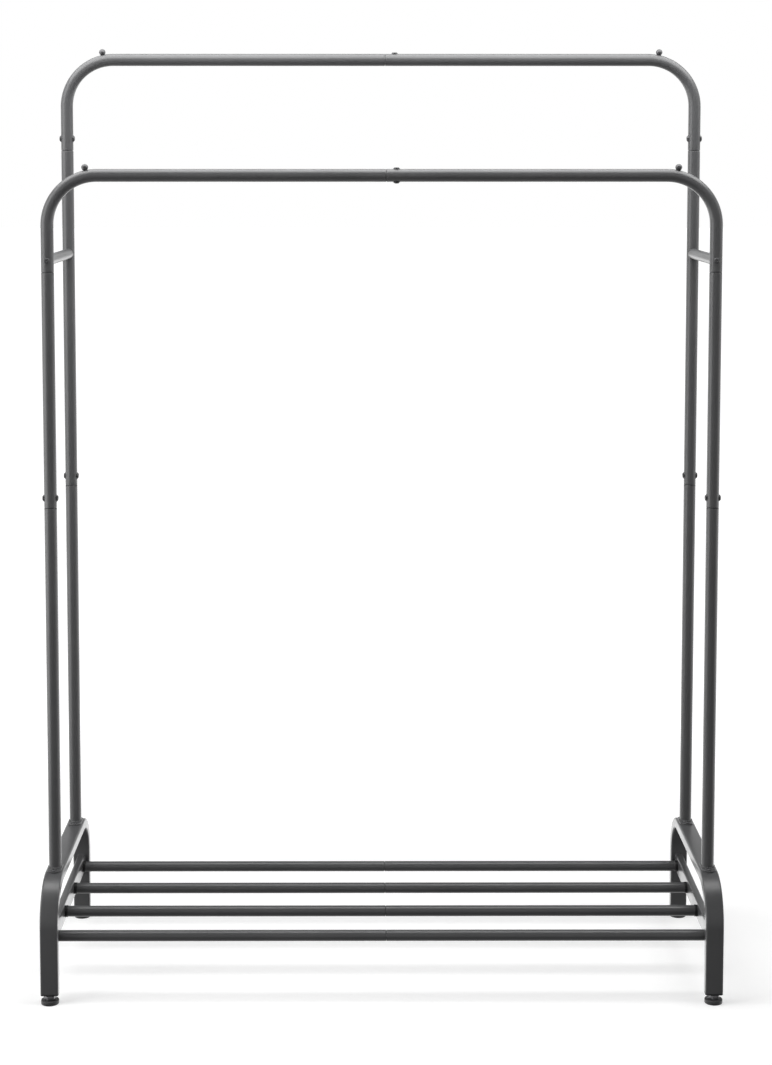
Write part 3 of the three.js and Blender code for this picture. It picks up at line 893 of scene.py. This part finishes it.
def foot_stud(end, side):
    """The threaded stud: swivel end, hexagon for a spanner, and a real helical thread."""
    node = f"foot_stud_{end}_{side}"
    low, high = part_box(node)
    base = Vector((middle(node).x, middle(node).y, 0))
    across = extent(node).y
    hexagon_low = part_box(f"foot_pad_{end}_{side}")[1].z + GAP
    hexagon_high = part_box(f"leg_plug_{end}_{side}")[0].z - GAP
    thread_start = hexagon_high + 0.6 * MM
    chamfer = 0.8 * MM
    flats = hexagon(across)
    crown = circle(across / 2 * 0.97, BOLT_SIDES)
    swivel = SOCKET_RADIUS - 0.5 * MM
    core = STUD_RADIUS - THREAD["depth"]
    profile = [(0, low.z), (swivel - 0.5 * MM, low.z), (swivel, low.z + 0.5 * MM), (swivel, hexagon_low)]
    profile += [(crown, hexagon_low), (flats, hexagon_low + chamfer), (flats, hexagon_high - chamfer)]
    profile += [(crown, hexagon_high), (core, hexagon_high)]
    rings = turned_loft(profile, base, Z_AXIS)[0]
    rings += thread_rings(base, thread_start, high.z)
    rings.append([base + Z_AXIS * high.z])
    lofts = [(rings, False)]
    metal = piece(f"{node}_screw", lofts, BLACK_ZINC, body=f"stud_{end}_{side}")
    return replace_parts(metal, node)


def thread_rings(base, start, end):
    """Rings up a screw thread: a ridge with sloping sides that turns once round in each pitch."""
    count = round((end - start) / THREAD["pitch"] * THREAD["steps"])
    rings = []
    for step in range(count):
        height = start + (end - start) * step / count
        fade = min(1, step / THREAD["steps"], (count - 1 - step) / (2 * THREAD["steps"]))
        ring = []
        for i in range(BOLT_SIDES):
            angle = 2 * math.pi * i / BOLT_SIDES
            turn = (height / THREAD["pitch"] - i / BOLT_SIDES) % 1
            ridge = min(1, max(0, (0.5 - abs(turn - 0.5)) * 2.6 - 0.15)) * fade
            radius = STUD_RADIUS - THREAD["depth"] * (1 - ridge)
            ring.append(base + Vector((radius * math.cos(angle), radius * math.sin(angle), height)))
        rings.append(ring)
    return rings


# ---- Assembly ---------------------------------------------------------------------------------


def build_side(side):
    arch_tube(side)
    side_rail_tube(side)
    crossbar(side)
    for end in ENDS:
        post(f"lower_post_{end}_{side}", MID_JOINT_Z)
        post(f"middle_post_{end}_{side}", TOP_JOINT_Z[end])
        post_bead(end, side)
        foot_plate(end, side)
        plate_screw(end, side, "front")
        plate_screw(end, side, "rear")
        side_rail_bead(end, side)
        crossbar_insert(end, side)
        crossbar_bolt(end, side)
        through_bolt(f"mid_bolt_{end}_{side}", X_AXIS * SIDES[side], Z_AXIS)
        hanger_stop(end, side)
        rail_half(end, side)
        leg_plug(end, side)
        foot_pad(end, side)
        foot_stud(end, side)
    through_bolt(f"rear_bolt_{side}", X_AXIS * SIDES[side], Z_AXIS)
    for number in SHELF_BARS:
        shelf_bar_half(number, side)
        bar_collar(number, side)
        shelf_bolt(number, side)


for side in SIDES:
    build_side(side)
through_bolt("rail_bolt_front", Z_AXIS, X_AXIS)
rear_rail_bolt()


# ---- Studio -----------------------------------------------------------------------------------


def smooth_fade(tree, source, start, end, low, high):
    """A value that goes smoothly from low to high as its source goes from start to end."""
    node = tree.nodes.new("ShaderNodeMapRange")
    node.interpolation_type = "SMOOTHSTEP"
    for socket, value in zip(SPAN_SOCKETS, (start, end, low, high)):
        if isinstance(value, (int, float)):
            node.inputs[socket].default_value = value
        else:
            tree.links.new(value, node.inputs[socket])
    tree.links.new(source, node.inputs["Value"])
    return node.outputs["Result"]


def floor_material():
    """Pale and matt, and brighter with distance, so that it joins the white backdrop."""
    pale = bpy.data.materials.new("pale_floor")
    pale.use_nodes = True
    tree = pale.node_tree
    surface = tree.nodes["Principled BSDF"]
    surface.inputs["Base Color"].default_value = (*FLOOR["colour"], 1)
    surface.inputs["Roughness"].default_value = 1.0
    surface.inputs["Specular IOR Level"].default_value = 0.0
    surface.inputs["Emission Color"].default_value = (1, 1, 1, 1)
    distance = tree.nodes.new("ShaderNodeVectorMath")
    distance.operation = "LENGTH"
    tree.links.new(tree.nodes.new("ShaderNodeTexCoord").outputs["Object"], distance.inputs[0])
    glow = smooth_fade(tree, distance.outputs["Value"], *FLOOR["fade"], *FLOOR["glow"])
    tree.links.new(glow, surface.inputs["Emission Strength"])
    return pale


def floor_quarter(end, side, pale):
    """The quarter of the floor under one foot, which rides with the foot, so that it stands on it."""
    x = FLOOR["half"] * SIDES[side]
    y = FLOOR["half"] * ENDS[end]
    mesh = bpy.data.meshes.new(f"floor_{end}_{side}")
    mesh.from_pydata([(0, 0, 0), (x, 0, 0), (x, y, 0), (0, y, 0)], [], [(0, 1, 2, 3)])
    mesh.materials.append(pale)
    quarter = bpy.data.objects.new(f"floor_{end}_{side}", mesh)
    bpy.context.scene.collection.objects.link(quarter)
    quarter.visible_diffuse = False
    quarter.visible_glossy = False
    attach(quarter, f"pad_{end}_{side}")


def backdrop():
    """White to the camera; a soft studio to the steel, bright behind and dark overhead."""
    world = bpy.data.worlds.new("studio")
    bpy.context.scene.world = world
    world.use_nodes = True
    tree = world.node_tree
    tree.nodes.clear()
    direction = tree.nodes.new("ShaderNodeTexCoord").outputs["Generated"]
    axes = tree.nodes.new("ShaderNodeSeparateXYZ")
    tree.links.new(direction, axes.inputs[0])

    rise = axes.outputs["Z"]
    front = smooth_fade(tree, rise, *WORLD["front_fade"], WORLD["front_floor"], WORLD["front"])
    lower = smooth_fade(tree, rise, *WORLD["floor_fade"], WORLD["floor_below"], WORLD["floor_behind"])
    behind = smooth_fade(tree, rise, *WORLD["behind_fade"], lower, WORLD["behind"])
    around = smooth_fade(tree, axes.outputs["Y"], *WORLD["side_fade"], front, behind)
    strength = smooth_fade(tree, rise, *WORLD["overhead_fade"], around, WORLD["overhead"])
    studio = tree.nodes.new("ShaderNodeBackground")
    tree.links.new(strength, studio.inputs["Strength"])
    white = tree.nodes.new("ShaderNodeBackground")
    white.inputs["Color"].default_value = (1, 1, 1, 1)
    white.inputs["Strength"].default_value = 1.0
    path = tree.nodes.new("ShaderNodeLightPath")
    choose = tree.nodes.new("ShaderNodeMixShader")
    tree.links.new(path.outputs["Is Camera Ray"], choose.inputs["Fac"])
    tree.links.new(studio.outputs[0], choose.inputs[1])
    tree.links.new(white.outputs[0], choose.inputs[2])
    output = tree.nodes.new("ShaderNodeOutputWorld")
    tree.links.new(choose.outputs[0], output.inputs["Surface"])


def softbox(name, place, aim, size, power):
    """A soft rectangular light at a place, aimed at a point, unseen by the camera."""
    light = bpy.data.lights.new(name, "AREA")
    light.shape = "RECTANGLE"
    light.size, light.size_y = size
    light.energy = power
    lamp = bpy.data.objects.new(name, light)
    lamp.location = place
    lamp.rotation_euler = (Vector(aim) - Vector(place)).to_track_quat("-Z", "Y").to_euler()
    lamp.visible_camera = False
    bpy.context.scene.collection.objects.link(lamp)


def camera():
    lens = bpy.data.cameras.new("camera")
    lens.lens = CAMERA["lens"]
    lens.sensor_width = 36
    lens.shift_x, lens.shift_y = CAMERA["shift"]
    eye = bpy.data.objects.new("camera", lens)
    eye.location = CAMERA["place"]
    eye.rotation_euler = (math.radians(90 - CAMERA["pitch"]), 0, math.radians(CAMERA["yaw"]))
    bpy.context.scene.collection.objects.link(eye)
    bpy.context.scene.camera = eye


pale_floor = floor_material()
for end in ENDS:
    for side in SIDES:
        floor_quarter(end, side, pale_floor)
backdrop()
for light in SOFTBOXES:
    softbox(*light)
camera()
bpy.context.scene.view_settings.view_transform = "Standard"
